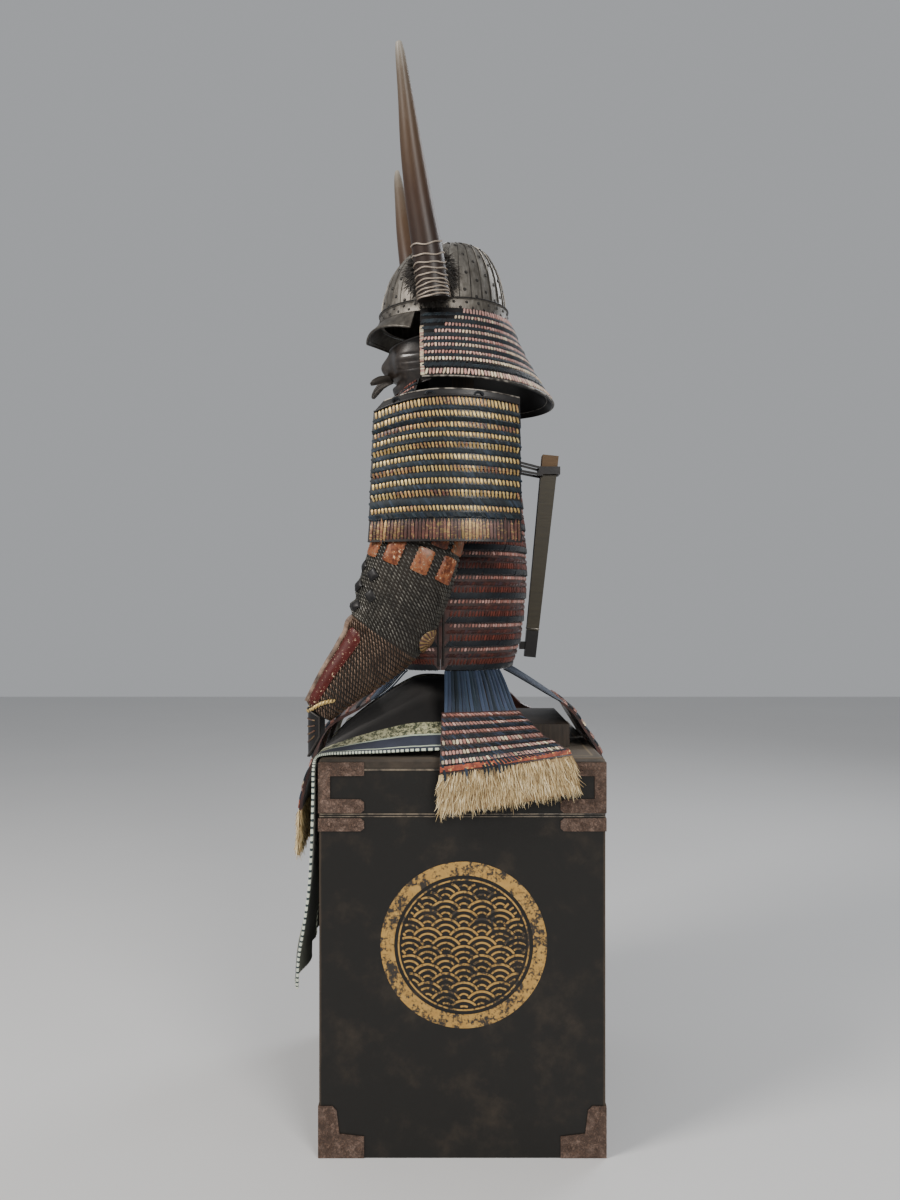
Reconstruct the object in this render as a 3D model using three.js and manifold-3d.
// A laced suit of Japanese armour, seated on its lacquered storage chest.
// Millimetres, +Z up. The origin is the middle of the chest's underside; the armour faces -Y.
// Its left arm is at +X.
// Each piece of plate, lacing or cloth is a thin closed wall whose outer points come from a function of
// u (across) and v (down), so the suit is hollow and open where a body would go. A wooden stand carries it.
import * as THREE from "three";
import { mergeVertices } from "three/addons/utils/BufferGeometryUtils.js";
import Module from "manifold-3d";

const wasm = await Module();
wasm.setup();

// Driving dimensions
const GAP = 0.3; // between pieces that meet
const CLOTH = 2.5; // wall of cloth and mail
const PLATE = 3; // wall of laced lames
const CHEST = { wide: 400, deep: 395, tall: 553, lid: 80, wall: 10, edge: 6 };
const LAME = 33.5; // height of one laced lame of the cuirass
const STEP = 2; // how far a lame's lower edge stands over the one below
const SEAM_Y = -31; // where the two halves of the cuirass meet
const HELMET = { y: -27, turn: 3.5, bowlBase: 1221, bandBase: 1203.3, halfWide: 92, halfLong: 98 };
const POST_Y = 3; // the stand's post, in the middle of the body

const vec = (x, y, z) => new THREE.Vector3(x, y, z);
const { lerp, degToRad, clamp, smoothstep } = THREE.MathUtils;
const range = (n) => Array.from({ length: n }, (_, i) => i);
const even = (n) => range(n + 1).map((i) => i / n);

// A smooth reading of a table of sections: every named column at a place along the table's key column.
function section(table, key, at) {
  const last = table.length - 1;
  const way = Math.sign(table[last][key] - table[0][key]);
  const next = table.findIndex((row) => (row[key] - at) * way > 0);
  const i = clamp((next < 0 ? table.length : next) - 1, 0, last - 1);
  const row = (n) => table[clamp(n, 0, last)];
  const t = clamp((at - row(i)[key]) / (row(i + 1)[key] - row(i)[key]), 0, 1);
  const read = {};
  for (const name of Object.keys(table[0])) {
    const [a, b, c, d] = [i - 1, i, i + 1, i + 2].map((n) => row(n)[name]);
    const [square, cube] = [2 * a - 5 * b + 4 * c - d, 3 * b - a - 3 * c + d];
    read[name] = b + 0.5 * ((c - a) * t + square * t * t + cube * t * t * t);
  }
  return read;
}

// Closed solids from points and faces

function solid(points, faces) {
  const share = ([a, b, c]) => points[a].dot(points[b].clone().cross(points[c]));
  const volume = faces.reduce((sum, face) => sum + share(face), 0);
  const turned = volume < 0 ? faces.map(([a, b, c]) => [a, c, b]) : faces;
  const geometry = new THREE.BufferGeometry().setFromPoints(points);
  geometry.setIndex(turned.flat());
  return geometry;
}

// A wall from its outer points: the inner ones lie a thickness in, and the edges are closed.
function wall({ point, across, down, thick, raise = () => 0, inward = 1 }) {
  const us = even(across);
  const slope = 1e-3;
  const thickness = typeof thick === "function" ? thick : () => thick;
  const normal = (u, v) => {
    const along = point(Math.min(u + slope, 1), v).sub(point(Math.max(u - slope, 0), v));
    const drop = point(u, Math.min(v + slope, 1)).sub(point(u, Math.max(v - slope, 0)));
    return along.cross(drop).normalize().multiplyScalar(inward);
  };
  const outer = [];
  const inner = [];
  for (const u of us) {
    for (const v of down) {
      const n = normal(u, v);
      outer.push(point(u, v).addScaledVector(n, raise(u, v)));
      inner.push(point(u, v).addScaledVector(n, -thickness(u, v)));
    }
  }
  const rows = down.length;
  const shift = outer.length;
  const at = (i, j) => i * rows + j;
  const faces = [];
  const quad = (a, b, c, d) => faces.push([a, b, c], [a, c, d]);
  for (const i of range(across)) {
    for (const j of range(rows - 1)) {
      const [a, b, c, d] = [at(i, j), at(i + 1, j), at(i + 1, j + 1), at(i, j + 1)];
      quad(a, b, c, d);
      quad(d + shift, c + shift, b + shift, a + shift);
    }
    const [top, foot] = [0, rows - 1];
    quad(at(i + 1, top), at(i, top), at(i, top) + shift, at(i + 1, top) + shift);
    quad(at(i, foot), at(i + 1, foot), at(i + 1, foot) + shift, at(i, foot) + shift);
  }
  for (const j of range(rows - 1)) {
    quad(at(0, j), at(0, j + 1), at(0, j + 1) + shift, at(0, j) + shift);
    quad(at(across, j + 1), at(across, j), at(across, j) + shift, at(across, j + 1) + shift);
  }
  return solid([...outer, ...inner], faces);
}

// A skin over rings of equal count: capped at both ends, or joined end to start as a loop.
function loft(rings, loop = false) {
  const count = rings[0].length;
  const faces = [];
  const spans = loop ? rings.length : rings.length - 1;
  for (const r of range(spans)) {
    const next = (r + 1) % rings.length;
    for (const k of range(count)) {
      const turn = (k + 1) % count;
      const [a, b, c, d] = [r * count + k, r * count + turn, next * count + turn, next * count + k];
      faces.push([a, b, c], [a, c, d]);
    }
  }
  const cap = (r, reverse) => {
    const ring = rings[r];
    const n = vec(0, 0, 0);
    ring.forEach((p, i) => n.add(p.clone().cross(ring[(i + 1) % count])));
    n.normalize();
    const side = (Math.abs(n.z) < 0.9 ? vec(0, 0, 1) : vec(1, 0, 0)).cross(n).normalize();
    const up = n.clone().cross(side);
    const flat = ring.map((p) => new THREE.Vector2(p.dot(side), p.dot(up)));
    for (const [a, b, c] of THREE.ShapeUtils.triangulateShape(flat, [])) {
      const face = [r * count + a, r * count + b, r * count + c];
      faces.push(reverse ? face.reverse() : face);
    }
  };
  if (!loop) {
    cap(0, true);
    cap(rings.length - 1, false);
  }
  return solid(rings.flat(), faces);
}

const rectangle = (halfX, halfY, z, x = 0, y = 0) => [
  vec(x + halfX, y + halfY, z),
  vec(x - halfX, y + halfY, z),
  vec(x - halfX, y - halfY, z),
  vec(x + halfX, y - halfY, z),
];
const block = ([x0, x1], [y0, y1], [z0, z1]) =>
  loft([z0, z1].map((z) => rectangle((x1 - x0) / 2, (y1 - y0) / 2, z, (x0 + x1) / 2, (y0 + y1) / 2)));

// Boolean joins and cuts
function toManifold(geometry) {
  const merged = mergeVertices(geometry, 1e-4);
  const vertProperties = new Float32Array(merged.attributes.position.array);
  const triVerts = new Uint32Array(merged.index.array);
  return new wasm.Manifold(new wasm.Mesh({ numProp: 3, vertProperties, triVerts }));
}
function fromManifold(made) {
  const mesh = made.getMesh();
  const geometry = new THREE.BufferGeometry();
  geometry.setAttribute("position", new THREE.BufferAttribute(new Float32Array(mesh.vertProperties), 3));
  return geometry.setIndex([...mesh.triVerts]);
}
const join = (...pieces) => fromManifold(pieces.map(toManifold).reduce((a, b) => a.add(b)));
const cut = (piece, ...tools) =>
  fromManifold(tools.map(toManifold).reduce((a, b) => a.subtract(b), toManifold(piece)));

// Finishes
const finish = (color, roughness, metalness = 0) =>
  new THREE.MeshStandardMaterial({ color, roughness, metalness });
const BLACK_LACQUER = finish(0x1d1a17, 0.45);
const RUSTED_IRON = finish(0x5a4238, 0.7, 0.6);
const DARK_WOOD = finish(0x2b2119, 0.6);
const RUSSET_STEEL = finish(0x4b443c, 0.42, 0.8);
const HORN = finish(0x4a3324, 0.3);
const DARK_FUR = finish(0x1b1613, 0.95);
const PINK_LACING = finish(0x7b5a5c, 0.8);
const GOLD_LACING = finish(0xa88746, 0.55, 0.3);
const RED_LACING = finish(0x4b241c, 0.7);
const NAVY_CLOTH = finish(0x1d2536, 0.9);
const MAIL = finish(0x2c2823, 0.6, 0.5);

const suit = new THREE.Group();
const head = new THREE.Group();
head.position.set(0, HELMET.y, 0);
head.rotation.z = degToRad(HELMET.turn);
suit.add(head);

function place(name, geometry, material, group = suit) {
  const mesh = new THREE.Mesh(geometry, material);
  mesh.name = name;
  group.add(mesh);
}
function placeMirrored(name, geometry, material, group = suit) {
  const mesh = new THREE.Mesh(geometry, material);
  mesh.name = name;
  mesh.scale.x = -1;
  group.add(mesh);
}
// The same piece on both arms' sides.
function placePair(name, geometry, material, group = suit) {
  place(`${name}_left`, geometry, material, group);
  placeMirrored(`${name}_right`, geometry, material, group);
}

// Storage chest: an open lacquered box and a lid of the same outline
const [HALF_X, HALF_Y] = [CHEST.wide / 2, CHEST.deep / 2];
const LID_Z = CHEST.tall - CHEST.lid;
const LID_TOP = CHEST.tall;
const boxRing = (z, inset) => rectangle(HALF_X - inset, HALF_Y - inset, z);
place(
  "chest_body",
  loft([
    boxRing(0, 0),
    boxRing(LID_Z - GAP / 2, 0),
    boxRing(LID_Z - GAP / 2, CHEST.wall),
    boxRing(CHEST.wall, CHEST.wall),
  ]),
  BLACK_LACQUER,
);
const roundedEdge = [0, 30, 60, 90].map((degrees) => {
  const turn = degToRad(degrees);
  return boxRing(LID_TOP - CHEST.edge * (1 - Math.sin(turn)), CHEST.edge * (1 - Math.cos(turn)));
});
place(
  "chest_lid",
  loft([
    boxRing(LID_TOP - CHEST.wall, CHEST.wall),
    boxRing(LID_Z + GAP / 2, CHEST.wall),
    boxRing(LID_Z + GAP / 2, 0),
    ...roundedEdge,
  ]),
  BLACK_LACQUER,
);

// Iron fittings that wrap the chest's corners, from a table of arm lengths by height
const IRON = 1.2;
function cornerFitting(signX, signY, arms) {
  const near = GAP;
  const far = GAP + IRON;
  return loft(
    arms.map(({ z, arm }) =>
      [
        [HALF_X + far, HALF_Y + far],
        [HALF_X - arm, HALF_Y + far],
        [HALF_X - arm, HALF_Y + near],
        [HALF_X + near, HALF_Y + near],
        [HALF_X + near, HALF_Y - arm],
        [HALF_X + far, HALF_Y - arm],
      ].map(([x, y]) => vec(signX * x, signY * y, z)),
    ),
  );
}
const FITTINGS = {
  lid_fitting: [
    { z: 476, arm: 57 },
    { z: 480, arm: 62 },
    { z: 491, arm: 62 },
    { z: 495, arm: 57 },
    { z: 495.5, arm: 15 },
    { z: 527, arm: 15 },
    { z: 527.5, arm: 62 },
    { z: 546, arm: 62 },
  ],
  body_strap: [
    { z: 451, arm: 57 },
    { z: 455, arm: 62 },
    { z: 465, arm: 62 },
    { z: 469, arm: 57 },
  ],
  foot_fitting: [
    { z: 0.5, arm: 62 },
    { z: 30, arm: 62 },
    { z: 34, arm: 28 },
    { z: 66, arm: 24 },
    { z: 72, arm: 18 },
  ],
};
for (const [name, arms] of Object.entries(FITTINGS)) {
  for (const [corner, signX, signY] of [
    ["front_left", 1, -1],
    ["front_right", -1, -1],
    ["back_left", 1, 1],
    ["back_right", -1, 1],
  ]) {
    place(`${name}_${corner}`, cornerFitting(signX, signY, arms), RUSTED_IRON);
  }
}

const ellipse = (halfX, halfY, z, count, y = 0) =>
  range(count).map((i) => {
    const angle = (2 * Math.PI * i) / count;
    return vec(halfX * Math.cos(angle), halfY * Math.sin(angle) + y, z);
  });

// The helmet bowl's sections by height: share of the full half width and length, and how far back each lies.
// Its rim tips down towards the face.
const PLATES = 32;
const BOWL_WALL = 2.5;
const TIP = 0.036;
const BOWL = [
  { share: 1.0, back: 0, z: HELMET.bowlBase },
  { share: 0.962, back: 0, z: 1247 },
  { share: 0.86, back: 2, z: 1279 },
  { share: 0.64, back: 6, z: 1311 },
  { share: 0.3, back: 11, z: 1328 },
];
const skull = ({ share, back, z }, grow, count) =>
  ellipse(HELMET.halfWide * share + grow, HELMET.halfLong * share + grow, z, count, back).map((p) =>
    p.setZ(p.z + TIP * p.y),
  );

// The stand's knob fits the inside of the bowl's crown.
function knob() {
  const inside = BOWL_WALL + 2 * GAP;
  const [wide, crown] = BOWL.slice(-2);
  const foot = { ...wide, share: 0.4, z: KNOB_FROM + inside };
  const rings = [foot, wide, crown].map((row) => skull({ ...row, z: row.z - inside }, -inside, PLATES));
  return loft(rings).rotateZ(degToRad(HELMET.turn)).translate(0, HELMET.y, 0);
}

// Wooden stand: a base on the lid, a post, a shoulder bar, a peg for the mask and a cap for the helmet
const BASE = { halfX: 105, front: -120, back: 160, top: 586 };
const HIPS = { halfX: 38, front: -62, back: 45, top: 645 };
const POST = 17;
const SHOULDER_TOP = 1047.6;
const KNOB_FROM = 1288;
place(
  "stand",
  join(
    block([-BASE.halfX, BASE.halfX], [BASE.front, BASE.back], [LID_TOP + GAP, BASE.top]),
    block([-HIPS.halfX, HIPS.halfX], [HIPS.front, HIPS.back], [BASE.top - 1, HIPS.top]),
    block([-POST, POST], [POST_Y - POST, POST_Y + POST], [HIPS.top - 1, KNOB_FROM + 1]),
    block([-108, 108], [POST_Y - POST, POST_Y + POST], [SHOULDER_TOP - 30, SHOULDER_TOP]),
    block([-7, 7], [HELMET.y - 82.3, POST_Y], [1150, 1160]),
    knob(),
  ),
  DARK_WOOD,
);

// Helmet bowl: overlapping plates, each standing a little over the next
const PLATE_RISE = 1.4;
function bowlRing(row, grow, rise) {
  const edge = (i) => (2 * Math.PI * (Math.floor(i / 2) + (i % 2 ? 0.97 : 0.03))) / PLATES;
  return range(PLATES * 2).map((i) => {
    const angle = edge(i);
    const out = grow + (i % 2 ? 0 : rise);
    const y = (HELMET.halfLong * row.share + out) * Math.sin(angle) + row.back;
    return vec((HELMET.halfWide * row.share + out) * Math.cos(angle), y, row.z + TIP * y);
  });
}
function bowl(grow = 0) {
  const outside = BOWL.map((row) => bowlRing(row, grow, PLATE_RISE));
  const lower = (row, i) => ({ ...row, z: row.z - (i ? BOWL_WALL : 0) });
  const inside = BOWL.map((row, i) => bowlRing(lower(row, i), -BOWL_WALL, 0));
  return loft([...[...outside].reverse(), ...inside]);
}
place("helmet_bowl", bowl(), RUSSET_STEEL, head);
const CROWN_LIFT = 0.1;
const crownRing = (share, lift) => skull({ share, back: 11, z: BOWL.at(-1).z + lift }, 0, 16);
place(
  "helmet_crown_ring",
  loft([
    crownRing(0.16, 0.3 + CROWN_LIFT),
    crownRing(0.16, 3 + CROWN_LIFT),
    crownRing(0.11, 5 + CROWN_LIFT),
  ]),
  RUSSET_STEEL,
  head,
);

// Brow band around the base of the bowl
const BAND_OUT = 4.5;
function band(grow = 0) {
  const foot = (out) => ellipse(HELMET.halfWide + out, HELMET.halfLong + out, HELMET.bandBase - grow, PLATES);
  const top = (out) => skull({ ...BOWL[0], z: HELMET.bowlBase - GAP + grow }, out, PLATES);
  const inside = -PLATE - grow;
  return loft([foot(BAND_OUT + grow), top(PLATE + grow), top(inside), foot(inside)], true);
}
place("helmet_band", band(), RUSSET_STEEL, head);

// Peak: curved out and down from the front of the band, arched over each brow
const PEAK = { halfAngle: 62, out: 20, drop: 27 };
place(
  "helmet_peak",
  wall({
    point: (u, v) => {
      const angle = degToRad((2 * u - 1) * PEAK.halfAngle);
      const reach = v * PEAK.out * (0.45 + 0.55 * Math.cos(angle));
      const arch = Math.sin(Math.abs(2 * u - 1) * Math.PI) * 9;
      return vec(
        (HELMET.halfWide + BAND_OUT + reach) * Math.sin(angle),
        -(HELMET.halfLong + BAND_OUT + reach) * Math.cos(angle),
        HELMET.bandBase - GAP - v * (PEAK.drop - arch),
      );
    },
    across: 18,
    down: [0, 0.35, 0.7, 1],
    thick: BOWL_WALL,
    inward: -1,
  }),
  RUSSET_STEEL,
  head,
);

// Stepped heights for laced lames: two places per lame, so each lower edge stands proud
const lames = (count, from = 0, to = 1) =>
  range(count).flatMap((i) => {
    const start = i / count + (i ? 0.012 : 0);
    return [lerp(from, to, start), lerp(from, to, (i + 1) / count)];
  });
const lameRise = (count, rise = STEP, from = 0, to = 1) => (u, v) => {
  if (v < from - 1e-6 || v > to + 1e-6) return 0;
  const lame = ((clamp(v, from, to) - from) / (to - from)) * count;
  const share = lame - Math.floor(Math.max(lame - 1e-3, 0));
  return rise * clamp(share, 0, 1);
};

// Neck guard: five laced lames that flare from the band, open at the face
const NECK = {
  top: { halfWide: 100.4, halfLong: 106.4, z: HELMET.bandBase + 1.5, halfAngle: 112 },
  foot: { halfWide: 167, halfLong: 173.5, z: 1077, halfAngle: 104 },
  lames: 5,
};
const neckPoint = (u, v) => {
  const { top, foot } = NECK;
  const angle = degToRad((2 * u - 1) * lerp(top.halfAngle, foot.halfAngle, v));
  const flare = 0.64 * v + 0.36 * v * v;
  const lift = 10 * v * Math.sin(angle) ** 2;
  return vec(
    lerp(top.halfWide, foot.halfWide, flare) * Math.sin(angle),
    lerp(top.halfLong, foot.halfLong, flare) * Math.cos(angle),
    lerp(top.z, foot.z, v) + lift,
  );
};
place(
  "neck_guard",
  wall({
    point: neckPoint,
    across: 24,
    down: lames(NECK.lames),
    thick: PLATE,
    raise: lameRise(NECK.lames),
  }),
  PINK_LACING,
  head,
);

// Horns: swept up and forward from the sides of the bowl
const HORN_PATH = [
  { rise: 0, x: 123, y: -21, z: 1209, r: 25.5 },
  { rise: 1, x: 129, y: -28, z: 1262, r: 25 },
  { rise: 2, x: 143, y: -43, z: 1342, r: 21.5 },
  { rise: 3, x: 161, y: -54.5, z: 1410, r: 17 },
  { rise: 4, x: 178, y: -63, z: 1472, r: 12 },
  { rise: 5, x: 192, y: -70, z: 1520, r: 8 },
  { rise: 6, x: 198, y: -73, z: 1539, r: 4.5 },
];
const HORN_TOP = HORN_PATH.length - 1;
function horn(forward, grow = 0) {
  const steps = 14;
  const rings = range(steps + 1).map((i) => {
    const at = (i / steps) * HORN_TOP;
    const here = section(HORN_PATH, "rise", at);
    const ahead = section(HORN_PATH, "rise", at + 0.05);
    const behind = section(HORN_PATH, "rise", at - 0.05);
    const way = vec(ahead.x - behind.x, ahead.y - behind.y, ahead.z - behind.z).normalize();
    const side = vec(0, 1, 0).cross(way).normalize();
    const front = way.clone().cross(side);
    const middle = vec(here.x, here.y - forward * (1 - at / HORN_TOP), here.z);
    return range(12).map((k) => {
      const angle = (2 * Math.PI * k) / 12;
      return middle
        .clone()
        .addScaledVector(side, (here.r + grow) * Math.cos(angle))
        .addScaledVector(front, (here.r + grow) * 0.92 * Math.sin(angle));
    });
  });
  return loft(rings);
}

// Fur around the root of each horn, seated on the bowl and its band
const FUR = { x: 106, y: -24, z: 1250, halfX: 35, halfY: 40, halfZ: 43 };
function tuft(forward) {
  const ball = new THREE.SphereGeometry(1, 12, 8);
  ball.deleteAttribute("normal");
  ball.deleteAttribute("uv");
  ball.scale(FUR.halfX, FUR.halfY, FUR.halfZ).translate(FUR.x, FUR.y - forward, FUR.z);
  const clear = BAND_OUT + GAP;
  const helmet = loft([{ ...BOWL[0], z: FUR.z - 60 }, ...BOWL].map((row) => skull(row, clear, 24)));
  const root = horn(forward, GAP);
  return cut(ball, helmet, root, root.clone().translate(0, 0, -GAP));
}

// The left horn's root sits a little further back than the right one's.
const ROOTS = { left: 0, right: 8 };
place("horn_left", horn(ROOTS.left), HORN, head);
place("horn_fur_left", tuft(ROOTS.left), DARK_FUR, head);
placeMirrored("horn_right", horn(ROOTS.right), HORN, head);
placeMirrored("horn_fur_right", tuft(ROOTS.right), DARK_FUR, head);

// Face mask: cheeks, nose and chin on general proportions, with a stiff moustache
const MASK = { halfWide: 68, depth: 74, y: -10, top: 1166, chin: 1094, halfAngle: 80 };
const bump = (value, middle, spread) => Math.exp(-(((value - middle) / spread) ** 2));
const maskPoint = (u, v) => {
  const angle = degToRad((2 * u - 1) * MASK.halfAngle);
  const aside = Math.abs(2 * u - 1);
  const nose = 17 * bump(aside, 0, 0.16) * bump(v, 0.42, 0.26);
  const cheek = 5 * bump(aside, 0.42, 0.2) * bump(v, 0.4, 0.24);
  const mouth = -6 * bump(aside, 0, 0.3) * bump(v, 0.76, 0.08);
  const chin = 5 * bump(aside, 0, 0.25) * bump(v, 0.95, 0.1);
  const taper = 1 - 0.14 * v * v;
  const out = nose + cheek + mouth + chin;
  return vec(
    (MASK.halfWide * taper + cheek) * Math.sin(angle),
    MASK.y - (MASK.depth * taper + out) * Math.cos(angle),
    lerp(MASK.top + 12 * aside * aside, MASK.chin + 14 * aside * aside, v),
  );
};
const mask = wall({ point: maskPoint, across: 16, down: even(8), thick: CLOTH, inward: -1 });
const WHISKER = [
  { along: 0, x: 5, y: -84, z: 1119, r: 6 },
  { along: 1, x: 20, y: -98, z: 1115, r: 6 },
  { along: 2, x: 40, y: -109, z: 1106, r: 4.5 },
  { along: 3, x: 50, y: -113, z: 1101, r: 1.5 },
];
const whisker = (side) =>
  loft(
    range(6).map((i) => {
      const here = section(WHISKER, "along", (3 * i) / 5);
      return range(6).map((k) => {
        const angle = (Math.PI * k) / 3;
        return vec(side * here.x, here.y + here.r * Math.cos(angle), here.z + here.r * Math.sin(angle));
      });
    }),
  );
place("face_mask", join(mask, whisker(1), whisker(-1)), MAIL, head);

// Throat guard: three lames hung from the chin
const THROAT = {
  top: { halfWide: 66, deep: 64, z: 1089.5 },
  foot: { halfWide: 90, deep: 96, z: 1026 },
  lift: 26,
  lames: 3,
  halfAngle: 62,
};
place(
  "throat_guard",
  wall({
    point: (u, v) => {
      const angle = degToRad((2 * u - 1) * THROAT.halfAngle);
      const { top, foot } = THROAT;
      return vec(
        lerp(top.halfWide, foot.halfWide, v) * Math.sin(angle),
        MASK.y - lerp(top.deep, foot.deep, v) * Math.cos(angle),
        lerp(top.z, foot.z, v) + THROAT.lift * Math.sin(angle) ** 2,
      );
    },
    across: 12,
    down: lames(THROAT.lames),
    thick: CLOTH,
    raise: lameRise(THROAT.lames),
    inward: -1,
  }),
  RED_LACING,
  head,
);

// Cuirass: front and back halves that meet at the sides, rising between the armholes
const TORSO = [
  { z: 668, half: 126, front: 108, back: 78 },
  { z: 690, half: 130, front: 114, back: 87 },
  { z: 720, half: 135, front: 121, back: 94 },
  { z: 760, half: 140, front: 127, back: 98.5 },
  { z: 800, half: 145, front: 131, back: 101.5 },
  { z: 860, half: 149, front: 134, back: 100 },
  { z: 920, half: 146, front: 132, back: 95 },
  { z: 980, half: 138, front: 123, back: 89 },
  { z: 1020, half: 128, front: 108, back: 84 },
];
const TORSO_FOOT = TORSO[0].z;
const ARMHOLE = 872;
const SQUARE = 2 / 2.35;
const bend = (value) => Math.sign(value) * Math.abs(value) ** SQUARE;
// How far the cuirass reaches from its seam line towards the front or back, at a place across it.
function torsoReach(side, across, z) {
  const { half, front, back } = section(TORSO, "z", z);
  const deep = side < 0 ? front + SEAM_Y : back - SEAM_Y;
  return deep * Math.max(0, 1 - Math.abs(across / half) ** (2 / SQUARE)) ** (SQUARE / 2);
}
function torsoPoint(side, top, narrow) {
  return (u, v) => {
    const z = lerp(top, TORSO_FOOT, v);
    const { half, front, back } = section(TORSO, "z", z);
    const deep = side < 0 ? front + SEAM_Y : back - SEAM_Y;
    const spread = 90 - (90 - narrow) * smoothstep(z, ARMHOLE, top);
    const angle = degToRad((2 * u - 1) * spread);
    return vec(half * bend(Math.sin(angle)), SEAM_Y + side * (GAP / 2 + deep * bend(Math.cos(angle))), z);
  };
}
const cuirassHalf = (side, top, narrow) => {
  const rows = Math.round((top - TORSO_FOOT) / LAME);
  return wall({
    point: torsoPoint(side, top, narrow),
    across: 14,
    down: lames(rows),
    thick: PLATE,
    raise: lameRise(rows),
    inward: side,
  });
};
const FRONT_TOP = 985;
const BACK_TOP = 1018;
place("cuirass_front", cuirassHalf(-1, FRONT_TOP, 46), RED_LACING);
place("cuirass_back", cuirassHalf(1, BACK_TOP, 50), RED_LACING);

// Shoulder straps: from the top of the back, over the stand's bar, to the top of the front
const STRAP_PATH = [
  { along: 0, y: 78, z: BACK_TOP + 0.6, hug: 1 },
  { along: 1, y: 52, z: 1045, hug: 0.2 },
  { along: 2, y: 3, z: 1055, hug: 0 },
  { along: 3, y: -50, z: 1042, hug: 0 },
  { along: 4, y: -90, z: 1012, hug: 0.3 },
  { along: 5, y: -104, z: FRONT_TOP + 0.6, hug: 1 },
];
const STRAP = { inner: 56, outer: 96, thick: 4 };
placePair(
  "shoulder_strap",
  wall({
    point: (u, v) => {
      const last = STRAP_PATH.length - 1;
      const { y, z, hug } = section(STRAP_PATH, "along", v * last);
      const x = lerp(STRAP.inner, STRAP.outer, u);
      const [side, top] = v < 0.5 ? [1, BACK_TOP] : [-1, FRONT_TOP];
      return vec(x, lerp(y, SEAM_Y + side * (GAP / 2 + torsoReach(side, x, top)), clamp(hug, 0, 1)), z);
    },
    across: 2,
    down: even(10),
    thick: STRAP.thick,
    inward: -1,
  }),
  BLACK_LACQUER,
);

// Shoulder guards: curved laced plates over the upper arms, with a lacquered cap along the top
const SODE = {
  top: { x: 229, y: -21.5, z: 1046, half: 101 },
  foot: { x: 236.2, y: -24, z: 849, half: 105 },
  bulge: 28,
  droop: { front: 18, back: 7 },
  lames: 6,
  thick: 4,
};
const sodePoint = (u, v) => {
  const { top, foot, droop } = SODE;
  const across = 2 * u - 1;
  const lower = (across < 0 ? droop.front : droop.back) * across * across * (1 - v);
  return vec(
    lerp(top.x, foot.x, v) - SODE.bulge * across * across,
    lerp(top.y, foot.y, v) + across * lerp(top.half, foot.half, v),
    lerp(top.z, foot.z, v) - lower,
  );
};
placePair(
  "shoulder_guard",
  wall({
    point: sodePoint,
    across: 10,
    down: lames(SODE.lames),
    thick: SODE.thick,
    raise: lameRise(SODE.lames),
    inward: -1,
  }),
  GOLD_LACING,
);
const SODE_CAP = { tall: 9, out: 1.5, thick: 7, inset: 0.07 };
placePair(
  "shoulder_guard_cap",
  wall({
    point: (u, v) => {
      const { tall, out, inset } = SODE_CAP;
      return sodePoint(lerp(inset * (1 - v), 1, u), 0).add(vec(out, 0, 2 * GAP + tall * (1 - v)));
    },
    across: 10,
    down: [0, 1],
    thick: SODE_CAP.thick,
    inward: -1,
  }),
  BLACK_LACQUER,
);

// Armoured sleeves: padded cloth under mail and splints, in two tubes that meet below the elbow
const SLEEVE = [
  { along: 0, x: 143, y: -22, z: 1006, wide: 40, thick: 34 },
  { along: 1, x: 165, y: -34, z: 958, wide: 54, thick: 36 },
  { along: 2, x: 183, y: -54, z: 893, wide: 61, thick: 34 },
  { along: 3, x: 188, y: -68.5, z: 826, wide: 62, thick: 36 },
  { along: 4, x: 189, y: -84, z: 777, wide: 62, thick: 37 },
  { along: 5, x: 190, y: -103, z: 731, wide: 57, thick: 36 },
  { along: 6, x: 191, y: -131, z: 693, wide: 46, thick: 31 },
  { along: 7, x: 193, y: -166, z: 656, wide: 33, thick: 26 },
  { along: 8, x: 194, y: -199, z: 616, wide: 20, thick: 21 },
];
const SLEEVE_SIDES = 12;
function sleeveRing(at, out) {
  const here = section(SLEEVE, "along", at);
  const ahead = section(SLEEVE, "along", at + 0.05);
  const behind = section(SLEEVE, "along", at - 0.05);
  const way = vec(0, ahead.y - behind.y, ahead.z - behind.z).normalize();
  const front = vec(0, -way.z, way.y);
  const bunched = bump(at, 4.9, 0.9);
  return range(SLEEVE_SIDES).map((k) => {
    const angle = (2 * Math.PI * k) / SLEEVE_SIDES;
    const crease = bunched * 3.5 * Math.max(0, -Math.sin(angle)) * Math.cos(at * 9);
    return vec(here.x + (here.thick + out) * Math.cos(angle), here.y, here.z).addScaledVector(
      front,
      (here.wide + out + crease) * Math.sin(angle),
    );
  });
}
function sleeve(from, to, steps) {
  const stations = even(steps).map((share) => lerp(from, to, share));
  const outside = stations.map((at) => sleeveRing(at, 0));
  const inside = stations.map((at) => sleeveRing(at, -CLOTH));
  return loft([...outside, ...inside.reverse()], true);
}
const ELBOW = 5.25;
placePair("upper_sleeve", sleeve(0, ELBOW - 0.005, 12), MAIL);
placePair("lower_sleeve", sleeve(ELBOW + 0.005, 8, 7), MAIL);

// Hand guards: a rounded plate hung from each cuff
const HAND = { x: 196, y: -188.2, radius: 25, top: 622, foot: 553 };
placePair(
  "hand_guard",
  wall({
    point: (u, v) => {
      const across = 2 * u - 1;
      const angle = across * degToRad(78);
      const [top, foot] = [HAND.top - 12 * across * across, HAND.foot + 34 * across * across];
      const side = vec(Math.sin(angle), -Math.cos(angle), 0).multiplyScalar(HAND.radius);
      return side.add(vec(HAND.x, HAND.y, lerp(top, foot, v)));
    },
    across: 8,
    down: even(3),
    thick: CLOTH,
    inward: -1,
  }),
  MAIL,
);

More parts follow.
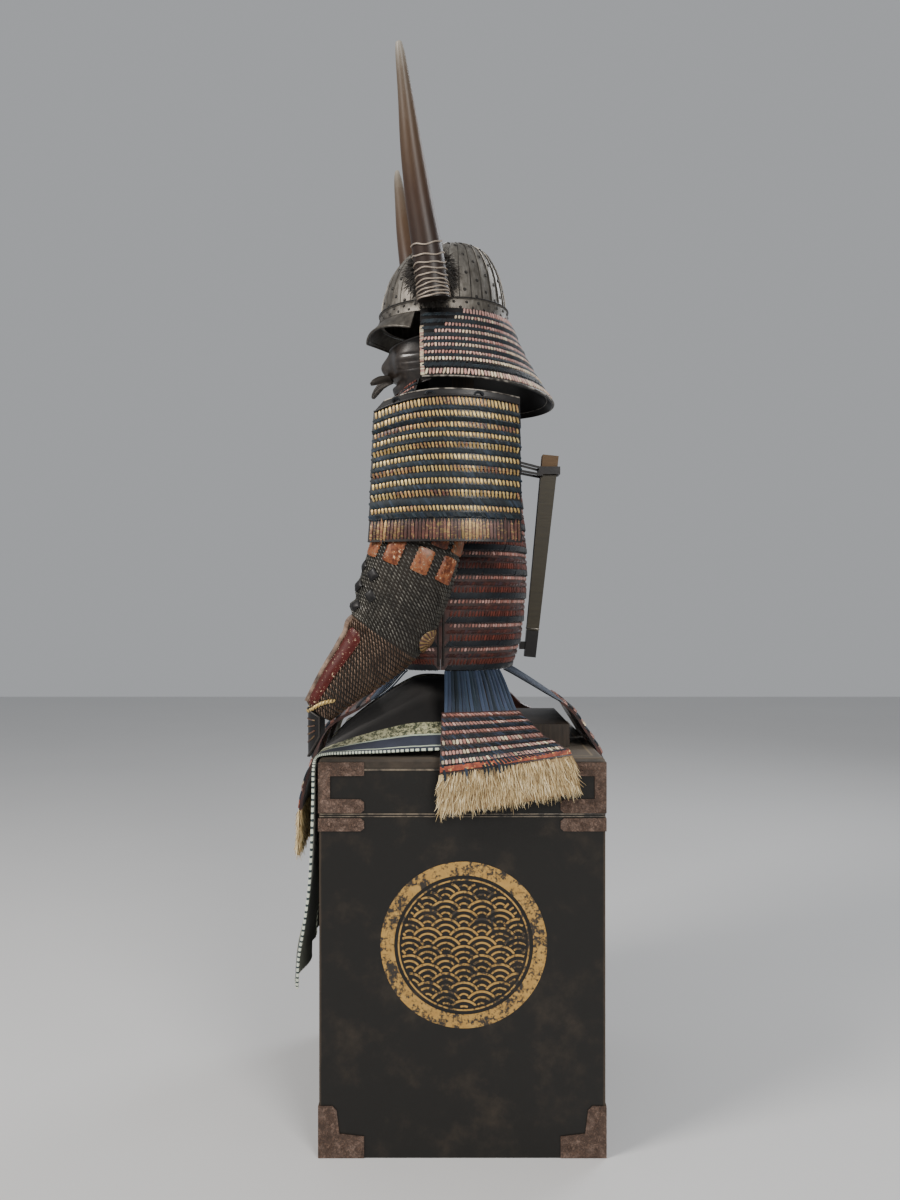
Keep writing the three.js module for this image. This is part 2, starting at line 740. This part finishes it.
// Tassets: laced panels on cords from the cuirass, with fur along the foot of those at the front and sides.
// Down each path: the distance out from the middle of the body, the height, and the share of the panel's
// change from its top's place and width, [middle, wide], to its foot's.
const FRONT_PATH = [
  { part: 0, out: 111, z: 667.4, share: 0 },
  { part: 1, out: 134, z: 626, share: 0.4 },
  { part: 2, out: 185, z: 596, share: 0.5 },
  { part: 3, out: 203, z: 577, share: 0.62 },
  { part: 4, out: 215, z: 545, share: 0.76 },
  { part: 5, out: 228, z: 504, share: 0.9 },
  { part: 6, out: 232, z: 474, share: 1 },
  { part: 7, out: 235, z: 394, share: 1.06 },
];
const SIDE_PATH = [
  { part: 0, out: 128, z: 667.4, share: 0 },
  { part: 1, out: 190, z: 615, share: 0.22 },
  { part: 2, out: 203, z: 597, share: 0.4 },
  { part: 3, out: 212, z: 580, share: 0.56 },
  { part: 4, out: 219, z: 566, share: 0.78 },
  { part: 5, out: 222, z: 556, share: 0.9 },
  { part: 6, out: 224, z: 546, share: 1 },
  { part: 7, out: 229, z: 480, share: 1.12 },
];
const BACK_PATH = [
  { part: 0, out: 79, z: 667.4, share: 0 },
  { part: 1, out: 151, z: 619, share: 0.4 },
  { part: 2, out: 171, z: 602, share: 0.5 },
  { part: 3, out: 184, z: 582, share: 0.62 },
  { part: 4, out: 195.5, z: 565, share: 0.76 },
  { part: 5, out: 207, z: 544, share: 0.9 },
  { part: 6, out: 209.5, z: 515, share: 1 },
];
const PANELS = {
  middle: { top: [0, 74], foot: [0, 106] },
  front: { top: [82, 62], foot: [112, 104] },
  side: { top: [16, 88], foot: [59, 180] },
  back: { top: [42, 76], foot: [66, 122] },
};
const mirrored = ({ top, foot }) => ({ top: [-top[0], top[1]], foot: [-foot[0], foot[1]] });
const [FRONT, SIDE, BACK] = [
  { path: FRONT_PATH, tilt: 0.04, fur: true },
  { path: SIDE_PATH, tilt: 0.145, fur: true },
  { path: BACK_PATH, tilt: 0, fur: false },
];
const TASSETS = {
  tasset_front_middle: { ...FRONT, way: "front", ...PANELS.middle, tilt: 0 },
  tasset_front_left: { ...FRONT, way: "front", ...PANELS.front },
  tasset_front_right: { ...FRONT, way: "front", ...mirrored(PANELS.front), tilt: -FRONT.tilt },
  tasset_side_left: { ...SIDE, way: "left", ...PANELS.side },
  tasset_side_right: { ...SIDE, way: "right", ...PANELS.side },
  tasset_back_left: { ...BACK, way: "back", ...PANELS.back },
  tasset_back_right: { ...BACK, way: "back", ...mirrored(PANELS.back) },
};
const AWAY = {
  front: { at: (across, out, z) => vec(across, -out, z), inward: -1 },
  back: { at: (across, out, z) => vec(across, out, z), inward: 1 },
  left: { at: (across, out, z) => vec(out, across, z), inward: -1 },
  right: { at: (across, out, z) => vec(-out, across, z), inward: 1 },
};
// How far the foot of the cuirass curves back from its middle at a place across it.
function torsoRetreat(way, across) {
  const side = way === "front" || (way !== "back" && across < SEAM_Y) ? -1 : 1;
  const deepest = torsoReach(side, 0, TORSO_FOOT);
  if (way === "front" || way === "back") return deepest - torsoReach(side, across, TORSO_FOOT);
  const share = Math.abs(across - SEAM_Y) / deepest;
  return TORSO[0].half * (1 - Math.max(0, 1 - share ** (2 / SQUARE)) ** (SQUARE / 2));
}
function tasset({ way, path, top, foot, tilt }) {
  const parts = path.length - 1;
  return (u, v) => {
    const { out, z, share } = section(path, "part", v * parts);
    const middle = lerp(top[0], foot[0], share);
    const aside = (u - 0.5) * lerp(top[1], foot[1], share);
    const across = middle + aside;
    const hug = clamp(1 - v * parts, 0, 1);
    const bow = 0.0009 * aside * aside * (1 - hug) * (way === "front" || way === "back" ? 1 : 0.6);
    return AWAY[way].at(across, out - hug * torsoRetreat(way, across) - bow, z + tilt * aside * share);
  };
}
const FUR_PAD = { inside: 6.3, outside: 5.6 };
for (const [name, plan] of Object.entries(TASSETS)) {
  const parts = plan.path.length - 1;
  const [platesFrom, platesTo] = [1 / parts, 6 / parts];
  const plates = lames(5, platesFrom, platesTo);
  const down = [0, 0.5 * platesFrom, ...plates, ...(plan.fur ? [platesTo + 0.02, 1] : [])];
  const rise = lameRise(5, STEP, platesFrom, platesTo);
  place(
    name,
    wall({
      point: tasset(plan),
      across: 5,
      down,
      thick: (u, v) => (v < platesTo + 0.01 ? PLATE : FUR_PAD.inside),
      raise: (u, v) => (v > platesTo + 0.01 ? FUR_PAD.outside : rise(u, v)),
      inward: AWAY[plan.way].inward,
    }),
    plan.fur ? PINK_LACING : RED_LACING,
  );
}

// Thigh apron: two brocade-edged cloth panels laid over the stand's base and the lid,
// and hung down the chest's front
const APRON_PATH = [
  { part: 0, y: -17, middle: 648, edge: 566 },
  { part: 1, y: -66, middle: 648.5, edge: 564 },
  { part: 2, y: -105, middle: 631, edge: 562 },
  { part: 3, y: -136, middle: 611, edge: 561 },
  { part: 4, y: -163, middle: 590, edge: 560 },
  { part: 5, y: -186, middle: 570, edge: 559 },
  { part: 6, y: -201, middle: 555, edge: 555 },
  { part: 7, y: -206, middle: 540, edge: 540 },
  { part: 8, y: -207, middle: 495, edge: 495 },
  { part: 9, y: -209, middle: 435, edge: 435 },
  { part: 10, y: -213, middle: 375, edge: 375 },
  { part: 11, y: -221, middle: 320, edge: 320 },
  { part: 12, y: -229, middle: 275, edge: 275 },
  { part: 13, y: -231, middle: 236, edge: 236 },
];
const APRON = { inner: 5, outer: 203, shoulder: 160 };
placePair(
  "thigh_apron",
  wall({
    point: (u, v) => {
      const parts = APRON_PATH.length - 1;
      const { y, middle, edge } = section(APRON_PATH, "part", v * parts);
      const x = lerp(APRON.inner, APRON.outer, u);
      const hang = smoothstep(v * parts, 8, 13);
      const wave = 5 * hang * Math.sin((x / 64) * Math.PI);
      const down = 1 - Math.min((APRON.outer - x) / APRON.shoulder, 1);
      return vec(x, y - wave, lerp(middle, edge, down ** 1.5));
    },
    across: 12,
    down: even(APRON_PATH.length - 1),
    thick: CLOTH,
    inward: -1,
  }),
  NAVY_CLOTH,
);

// Banner tube: a square socket down the back, held by an iron bracket above and a cup below
const TUBE = {
  top: { y: 142.2, z: 998.7, half: 12.6 },
  foot: { y: 110.4, z: 686, half: 9 },
  wall: 3,
  rim: 0.885,
  tenon: 2,
};
const tubeLean = (TUBE.top.y - TUBE.foot.y) / (TUBE.top.z - TUBE.foot.z);
const tubeAt = (share, key) => lerp(TUBE.top[key], TUBE.foot[key], share);
function tubeRing(share, inset) {
  const [y, z] = [tubeAt(share, "y"), tubeAt(share, "z")];
  const half = tubeAt(share, "half") - inset;
  return rectangle(half, half, z, 0, y).map((p) => p.setZ(z - (p.y - y) * tubeLean));
}
// Four boards make the tube: the two at the sides run its full depth, and the others fit between them.
function tubeBoard(sides) {
  const ring = (share, inset) => {
    const [y, z] = [tubeAt(share, "y"), tubeAt(share, "z")];
    const [left, right, front, back] = sides(tubeAt(share, "half"), inset);
    const corners = [[left, front], [right, front], [right, back], [left, back]];
    return corners.map(([across, deep]) => vec(across, y + deep, z - deep * tubeLean));
  };
  const rings = [ring(1, TUBE.tenon), ring(TUBE.rim, TUBE.tenon), ring(TUBE.rim - 0.001, 0), ring(0, 0)];
  return loft(rings);
}
for (const [name, side] of [["left", 1], ["right", -1]]) {
  place(
    `banner_tube_${name}`,
    tubeBoard((half, inset) => {
      const [inner, outer] = [half - TUBE.wall, half - inset];
      const across = [side * inner, side * outer].sort((a, b) => a - b);
      return [...across, -outer, outer];
    }),
    DARK_WOOD,
  );
}
for (const [name, side] of [["front", -1], ["back", 1]]) {
  place(
    `banner_tube_${name}`,
    tubeBoard((half, inset) => {
      const [inner, outer] = [half - TUBE.wall, half - inset];
      const deep = [side * inner, side * outer].sort((a, b) => a - b);
      return [GAP - inner, inner - GAP, ...deep];
    }),
    DARK_WOOD,
  );
}

// The tube's foot sits in a cup of the tube's own width, on a tab from the back.
const CUP_TAB = { from: 93.3, to: 101, z: 692 };
place(
  "tube_cup",
  join(
    loft([
      tubeRing(1.02, 0),
      tubeRing(TUBE.rim + 0.001, 0),
      tubeRing(TUBE.rim + 0.001, TUBE.tenon - GAP),
      tubeRing(1.001, TUBE.tenon - GAP),
    ]),
    block([-6, 6], [CUP_TAB.from, CUP_TAB.to + 2], [CUP_TAB.z, CUP_TAB.z + 12]),
  ),
  RUSTED_IRON,
);

// Bracket: a plate on the back, two rods on each side and a strap round the tube
const CLASP = { share: 0.078, tall: 12, rod: 3.5, plateFrom: 91.7 };
const clasp = { y: tubeAt(CLASP.share, "y"), z: tubeAt(CLASP.share, "z") };
const clear = TUBE.top.half + 2 * GAP;
const bracketRod = (side, lift) => {
  const flat = (y, z) => rectangle(CLASP.rod / 2, 1.5, z, side * (clear + CLASP.rod / 2), y);
  const upright = (y, z) => flat(y, z).map((p, i) => p.setY(y).setZ(z + (i < 2 ? CLASP.rod : 0)));
  const [plateEnd, strapEnd] = [
    { y: CLASP.plateFrom + 1, z: clasp.z + 8 + lift },
    { y: clasp.y - 10, z: clasp.z - 1 + lift * 0.8 },
  ];
  return loft([upright(plateEnd.y, plateEnd.z), upright(strapEnd.y, strapEnd.z)]);
};
const strapHeight = [clasp.z - CLASP.tall / 2, clasp.z + CLASP.tall / 2];
const strapBar = (y) => block([-clear - CLASP.rod, clear + CLASP.rod], [y, y + 3], strapHeight);
const strapSide = (side) => {
  const reach = [side * clear, side * (clear + CLASP.rod)].sort((a, b) => a - b);
  return block(reach, [clasp.y - 17, clasp.y + 17], strapHeight);
};
place(
  "tube_bracket",
  join(
    ...[1, -1].flatMap((side) => [strapSide(side), bracketRod(side, 3), bracketRod(side, -10)]),
    strapBar(clasp.y - 17),
    strapBar(clasp.y + 14),
    block([-24, 24], [CLASP.plateFrom, CLASP.plateFrom + 2.5], [clasp.z - 6, clasp.z + 20]),
  ),
  RUSTED_IRON,
);

export default suit;
